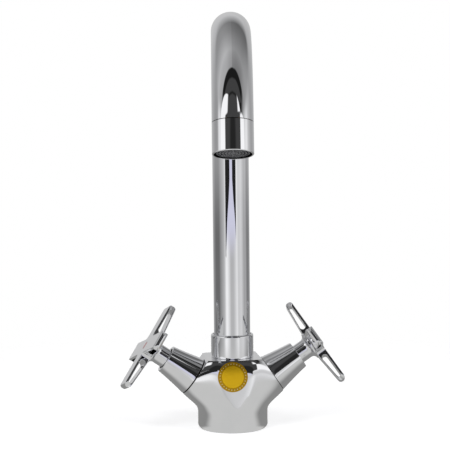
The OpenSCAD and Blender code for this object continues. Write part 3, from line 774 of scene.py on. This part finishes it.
# The studio is a light tent with a dark opening over the camera. Chrome shows nothing but its surroundings,
# so the world is drawn by direction. Azimuths are degrees from the camera to the right, and X, Y and Z are
# parts of a direction of length 1.
cloth_round = ((-180, 0.46), (-165, 0.46), (-140, 0.3), (-114, 0.155), (-84, 0.155), (-76, 0.24),
               (-60, 0.38), (-47, 0.5), (-40, 0.69), (-34, 0.95), (-27, 0.95), (-14, 0.72), (-4, 0.5),
               (10, 0.5), (17, 0.57), (35, 0.86), (44, 0.64), (64, 0.7), (88, 0.38), (97, 0.44),
               (118, 0.2), (132, 0.23), (180, 0.46))
cloth_lift = 0.21
roof_left_along = ((-0.25, 0.42), (-0.05, 0.45), (0.1, 0.51), (0.3, 0.4), (0.5, 0.31), (0.7, 0.28),
                   (0.9, 0.55))
roof_right_along = ((-0.25, 0.2), (-0.1, 0.235), (0.1, 0.3), (0.3, 0.24), (0.5, 0.18), (0.7, 0.135),
                    (0.9, 0.6))
roof_side = 0.36
panel_light = 1.04
panel_left_slope, panel_left_y = -0.586, -0.775
panel_right_slope, panel_right_y, panel_right_least = 1.04, -1.236, -0.57
door_left_low, door_left_high = -47, -33
door_right_low, door_right_high = 46.5, 33
door_soft_low, door_soft_high = 1.44, 3.6
door_sill = ((-48, 0.3), (-38, 0.21), (-23, 0.2), (-15, 0.17), (-8, 0.1), (26, 0.1), (32, 0.16), (48, 0.17))
gloom_along = ((-1.0, 0.02), (-0.84, 0.02), (-0.8, 0.055), (-0.63, 0.055), (-0.6, 0.012), (-0.57, 0.055),
               (-0.42, 0.055), (-0.39, 0.012), (-0.2, 0.012))
frame_black = 0.012
world = bpy.data.worlds.new("light_tent")
bpy.context.scene.world = world
world.use_nodes = True
tent = world.node_tree
tent.nodes.clear()


def camera_wise(tree, vector):
    """The X, Y and Z of a place or a direction, with X to the camera's right and Y away from the camera."""
    faced = add_node(tree, "ShaderNodeVectorRotate", {"Vector": vector, "Angle": view_turn},
                     rotation_type="Z_AXIS")
    return add_node(tree, "ShaderNodeSeparateXYZ", {"Vector": faced}).outputs


def graded(tree, value, stops):
    """What a value gives by way of a few stops of (value, result), straight from one to the next."""
    first, last = stops[0][0], stops[-1][0]
    share = add_node(tree, "ShaderNodeMapRange", {"Value": value, "From Min": first, "From Max": last})
    node = add_node(tree, "ShaderNodeValToRGB", {"Fac": share})
    while len(node.color_ramp.elements) < len(stops):
        node.color_ramp.elements.new(1.0)
    for element, (place, result) in zip(node.color_ramp.elements, stops):
        element.position = (place - first) / (last - first)
        element.color = (result, result, result, 1)
    return node


def past(tree, *edges):
    """1 past all the edges and 0 before them. Each edge is a value, where it starts and where it is full."""
    cover = 1.0
    for value, start, full in edges:
        rise = add_node(tree, "ShaderNodeMapRange", {"Value": value, "From Min": start, "From Max": full},
                        interpolation_type="SMOOTHSTEP")
        cover = add_node(tree, "ShaderNodeMath", {0: rise, 1: cover}, operation="MULTIPLY")
    return cover


def change(before, after, *edges):
    """In the tent, goes softly from one value to another past all the edges."""
    return add_node(tent, "ShaderNodeMix", {"Factor": past(tent, *edges), "A": before, "B": after})


look = add_node(tent, "ShaderNodeTexCoord").outputs["Generated"]
x, y, z = camera_wise(tent, look)
from_camera = add_node(tent, "ShaderNodeVectorRotate", {"Vector": look, "Angle": view_turn + pi / 2},
                       rotation_type="Z_AXIS")
turn = add_node(tent, "ShaderNodeTexGradient", {"Vector": from_camera}, gradient_type="RADIAL").outputs["Fac"]
azimuth = add_node(tent, "ShaderNodeMath", {0: turn, 1: 360, 2: -180}, operation="MULTIPLY_ADD")
wide = add_node(tent, "ShaderNodeMath", {0: x}, operation="ABSOLUTE")
front = (y, 0.16, -0.1)
far_front = (y, -0.23, -0.27)

# The cloth round the faucet is paler above the ground's edge. A bright band hangs before it in front, and the
# roof over it is darker on the right.
cloth = graded(tent, azimuth, cloth_round)
lifted = add_node(tent, "ShaderNodeMath", {0: cloth, 1: 1 - cloth_lift, 2: cloth_lift},
                  operation="MULTIPLY_ADD")
tent_light = change(cloth, lifted, (z, -0.1, -0.04))
tent_light = change(tent_light, change(0.62, 0.86, (z, 0.02, 0.3)), (z, -0.02, 0.06), front)
roof = change(graded(tent, y, roof_left_along), graded(tent, y, roof_right_along), (x, -0.5, 0.3))
roof = change(roof, roof_side, (x, 0.55, 0.95))
tent_light = change(tent_light, roof, (z, 0.3, 0.5))

# White panels hang in front on both sides, up to a slanted line on the left and a bent one on the right.
left_line = add_node(tent, "ShaderNodeMath", {0: x, 1: panel_left_slope, 2: panel_left_y},
                     operation="MULTIPLY_ADD")
right_line = add_node(tent, "ShaderNodeMath", {0: x, 1: panel_right_slope, 2: panel_right_y},
                      operation="MULTIPLY_ADD")
right_line = add_node(tent, "ShaderNodeMath", {0: right_line, 1: panel_right_least}, operation="MAXIMUM")
panel_line = change(left_line, right_line, (x, -0.01, 0.01))
over_panels = add_node(tent, "ShaderNodeMath", {0: y, 1: panel_line}, operation="SUBTRACT")
tent_light = change(tent_light, panel_light, (z, 0.12, 0.2), front, (over_panels, 0.01, -0.01))

# The opening is dark between its two sides and over its sill, and everywhere over the panels. Its frame is
# black.
gloom = graded(tent, y, gloom_along)
gloom = change(gloom, frame_black, (over_panels, -0.01, 0.01), (over_panels, 0.1, 0.08), (x, 0.58, 0.63))
gloom = change(gloom, roof_side, (wide, 0.68, 0.86))
high = (z, 0.53, 0.58)
door_left = change(door_left_low, door_left_high, (z, 0.5, 0.58))
door_right = change(door_right_low, door_right_high, high)
door_soft = change(door_soft_low, door_soft_high, high)
inside = []
for side in (door_left, door_right):
    off_side = add_node(tent, "ShaderNodeMath", {0: azimuth, 1: side}, operation="SUBTRACT")
    inside.append(add_node(tent, "ShaderNodeMath", {0: off_side, 1: door_soft}, operation="DIVIDE"))
sill = graded(tent, azimuth, door_sill)
over_sill = add_node(tent, "ShaderNodeMath", {0: z, 1: sill}, operation="SUBTRACT")
tent_light = change(tent_light, gloom, (inside[0], -1, 1), (inside[1], 1, -1), (over_sill, 0, 0.02),
                    far_front)
tent_light = change(tent_light, gloom, (over_panels, -0.01, 0.01), (z, 0.45, 0.47), far_front)

# The camera sees a white ground past the faucet, and the tent's light falls on everything else.
by_camera = add_node(tent, "ShaderNodeLightPath").outputs["Is Camera Ray"]
seen = add_node(tent, "ShaderNodeMix", {"Factor": by_camera, "A": tent_light, "B": 1.0})
shining = add_node(tent, "ShaderNodeBackground", {"Color": seen, "Strength": 1.0})
add_node(tent, "ShaderNodeOutputWorld", {"Surface": shining})


# The tent's door hangs half a metre in front of the faucet: black cloth with a pale strip down its middle
# that narrows upwards. Only the chrome sees it, because it is between the camera and the faucet.
door_y = -0.5
door_x = (-0.355, 0.295)
door_z = (0.055, 0.166)
strip_x = 0.005
strip_edge = 0.004
strip_foot_z = (0.058, 0.1)
strip_half_w = ((0.062, 0.32), (0.076, 0.285), (0.096, 0.235), (0.122, 0.13), (0.142, 0.071))
door = bmesh.new()
door_corners = [(door_x[0], door_z[0]), (door_x[1], door_z[0]), (door_x[1], door_z[1]),
                (door_x[0], door_z[1])]
door.faces.new([door.verts.new((across, door_y, up)) for across, up in door_corners])
bmesh.ops.transform(door, matrix=Matrix.Rotation(-view_turn, 4, "Z"), verts=door.verts)
door_mesh = bpy.data.meshes.new("tent_door")
door.to_mesh(door_mesh)
door.free()
door_piece = bpy.data.objects.new("tent_door", door_mesh)
bpy.context.scene.collection.objects.link(door_piece)
door_material = bpy.data.materials.new("black_and_pale_cloth")
door_material.use_nodes = True
door_tree = door_material.node_tree
door_tree.nodes.clear()
door_place = add_node(door_tree, "ShaderNodeTexCoord")
x, _, z = camera_wise(door_tree, door_place.outputs["Object"])
half_w = graded(door_tree, z, strip_half_w)
off_middle = add_node(door_tree, "ShaderNodeMath", {0: x, 1: strip_x}, operation="SUBTRACT")
off_middle = add_node(door_tree, "ShaderNodeMath", {0: off_middle}, operation="ABSOLUTE")
off_strip = add_node(door_tree, "ShaderNodeMath", {0: off_middle, 1: half_w}, operation="SUBTRACT")
black_cloth = add_node(door_tree, "ShaderNodeEmission", {"Color": linear("#FFFFFF"), "Strength": 0.018})
pale_cloth = add_node(door_tree, "ShaderNodeEmission", {"Color": linear("#D9D9EC"), "Strength": 0.95})
no_cloth = add_node(door_tree, "ShaderNodeBsdfTransparent")
strip = add_node(door_tree, "ShaderNodeMixShader", {0: past(door_tree, (z, *strip_foot_z)), 1: no_cloth,
                                                    2: pale_cloth})
beside = past(door_tree, (off_strip, -strip_edge, strip_edge))
door_cloth = add_node(door_tree, "ShaderNodeMixShader", {0: beside, 1: strip, 2: black_cloth})
add_node(door_tree, "ShaderNodeOutputMaterial", {"Surface": door_cloth})
door_mesh.materials.append(door_material)
for kind in ("visible_camera", "visible_diffuse", "visible_shadow", "visible_transmission"):
    setattr(door_piece, kind, False)


# A round table stands under the faucet. Its pale painted top fades into the white ground and keeps a soft
# shadow. To the chrome it is a glow of painted light, brighter towards the camera than behind.
floor_r = 0.42
floor_z = -0.2 * mm
floor_fade_r = 0.2
floor_glow = 0.62
floor_dim, floor_bright = 0.27, 0.6
table_top = bmesh.new()
bmesh.ops.create_circle(table_top, cap_ends=True, segments=96, radius=floor_r,
                        matrix=Matrix.Translation((0, 0, floor_z)))
floor_mesh = bpy.data.meshes.new("floor")
table_top.to_mesh(floor_mesh)
table_top.free()
floor = bpy.data.objects.new("floor", floor_mesh)
bpy.context.scene.collection.objects.link(floor)
floor_material = bpy.data.materials.new("pale_table")
floor_material.use_nodes = True
table = floor_material.node_tree
table.nodes.clear()
spot = add_node(table, "ShaderNodeTexCoord").outputs["Object"]
from_middle = add_node(table, "ShaderNodeVectorMath", {0: spot}, operation="LENGTH")
fade = past(table, (from_middle, floor_r, floor_fade_r))
paint = add_node(table, "ShaderNodeBsdfDiffuse", {"Color": linear("#E6E6E8")})
table_rays = add_node(table, "ShaderNodeLightPath")
lift = add_node(table, "ShaderNodeMath", {0: table_rays.outputs["Is Camera Ray"], 1: floor_glow},
                operation="MULTIPLY")
glow = add_node(table, "ShaderNodeEmission", {"Color": linear("#FFFFFF"), "Strength": lift})
painted = add_node(table, "ShaderNodeAddShader", {0: paint, 1: glow})
outwards = add_node(table, "ShaderNodeVectorMath", {0: spot}, operation="NORMALIZE")
_, away, _ = camera_wise(table, outwards)
# What the chrome sees of the table is painted light: a glow that is brighter towards the camera than behind.
lit = add_node(table, "ShaderNodeMapRange", {"Value": away, "From Min": -0.1, "From Max": -0.55,
                                             "To Min": floor_dim, "To Max": floor_bright},
               interpolation_type="SMOOTHSTEP")
painted_table_glow = add_node(table, "ShaderNodeEmission", {"Color": linear("#FFFFFC"), "Strength": lit})
by_chrome = table_rays.outputs["Is Glossy Ray"]
top = add_node(table, "ShaderNodeMixShader", {0: by_chrome, 1: painted, 2: painted_table_glow})
no_table = add_node(table, "ShaderNodeBsdfTransparent")
faded = add_node(table, "ShaderNodeMixShader", {0: fade, 1: no_table, 2: top})
add_node(table, "ShaderNodeOutputMaterial", {"Surface": faded})
floor_mesh.materials.append(floor_material)


# Two large soft lights stand in front, left and right. They bring paint and plastic up to a plain level, and
# don't show in the chrome.
lamp_aim = Vector((0, 0, 0.12))
lamp_size = 0.8
for lamp_spot, power in (((-0.9, -1.1, 1.3), 9.0), ((1.0, -0.9, 1.1), 7.0)):
    light = bpy.data.lights.new("soft_light", "AREA")
    light.size = lamp_size
    light.energy = power
    lamp = bpy.data.objects.new("soft_light", light)
    lamp.location = lamp_spot
    lamp.rotation_euler = (lamp_aim - lamp.location).to_track_quat("-Z", "Y").to_euler()
    lamp.visible_glossy = False
    bpy.context.scene.collection.objects.link(lamp)

bpy.context.scene.view_settings.view_transform = "Standard"
